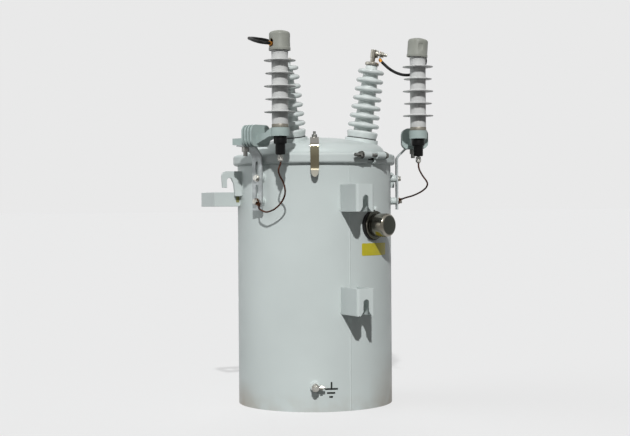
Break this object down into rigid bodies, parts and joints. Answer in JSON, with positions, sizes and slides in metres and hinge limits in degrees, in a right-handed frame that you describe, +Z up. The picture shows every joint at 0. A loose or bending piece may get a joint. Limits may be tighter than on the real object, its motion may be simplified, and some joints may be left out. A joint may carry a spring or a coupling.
{
  "type": "pole mounted transformer",
  "caption": "Single-phase pole mounted distribution transformer: round tank with domed lid, pole hangers, shedded bushings and surge arresters on finned arms.",
  "frame": {"origin": "on the tank axis at the foot of the tank wall", "axes": "+Z up the tank axis, -Y towards the pole, +X to the right as seen from the pole side"},
  "size_m": [0.5996, 0.618, 1.0521],
  "materials": {
    "tank_paint": "semi-gloss grey enamel over primed steel",
    "stainless_steel": "bright rolled stainless steel",
    "zinc_steel": "zinc coated steel, slightly dulled",
    "tinned_metal": "tin plated bronze, satin",
    "rubber_seal": "matte nitrile gasket",
    "porcelain": "glossy pale grey glaze",
    "polymer_housing": "satin silicone rubber",
    "lv_insulation": "satin moulded epoxy",
    "cap_moulding": "satin olive grey moulding",
    "arm_moulding": "satin sage grey glass polyester",
    "black_moulding": "satin black moulding",
    "copper": "bare copper crimp lug",
    "jumper_cover": "satin black cable cover",
    "bare_copper_lead": "weathered stranded copper"
  },
  "bodies": {
    "root": {"tank_shell": "tank_paint", "tank_bottom": "tank_paint", "lid": "tank_paint", "lid_gasket": "rubber_seal", "clamp_band": "tank_paint", "clamp_bolt": "zinc_steel", "hanger_upper": "tank_paint", "hanger_lower": "tank_paint", "lifting_lug_left": "tank_paint", "lifting_lug_right": "tank_paint", "side_bracket": "tank_paint", "lid_strap": "stainless_steel", "lid_strap_bolt": "zinc_steel", "hv_bushing_left": "porcelain", "hv_bushing_right": "porcelain", "hv_bushing_gaskets": "rubber_seal", "hv_terminal_left": "tinned_metal", "hv_terminal_right": "tinned_metal", "jumper_lugs": "copper", "arrester_housing_left": "polymer_housing", "arrester_housing_right": "polymer_housing", "arrester_collars": "tinned_metal", "arrester_terminals": "tinned_metal", "arrester_cap_left": "cap_moulding", "arrester_cap_right": "cap_moulding", "arrester_arm_left": "arm_moulding", "arrester_arm_right": "arm_moulding", "arrester_arm_bolts": "zinc_steel", "arrester_strip_left": "zinc_steel", "arrester_strip_right": "zinc_steel", "arrester_bosses": "tank_paint", "arrester_strip_bolts": "zinc_steel", "earth_lugs": "copper", "disconnector_left": "black_moulding", "disconnector_right": "black_moulding", "disconnector_studs": "zinc_steel", "hv_jumper_left": "jumper_cover", "hv_jumper_right": "jumper_cover", "earth_lead_left": "bare_copper_lead", "earth_lead_right": "bare_copper_lead", "tap_changer_flange": "rubber_seal", "tap_changer_cap": "stainless_steel", "earth_boss": "tank_paint", "earth_clamp": "zinc_steel", "lv_bushings": "lv_insulation", "lv_terminals": "tinned_metal"}
  },
  "joints": []
}
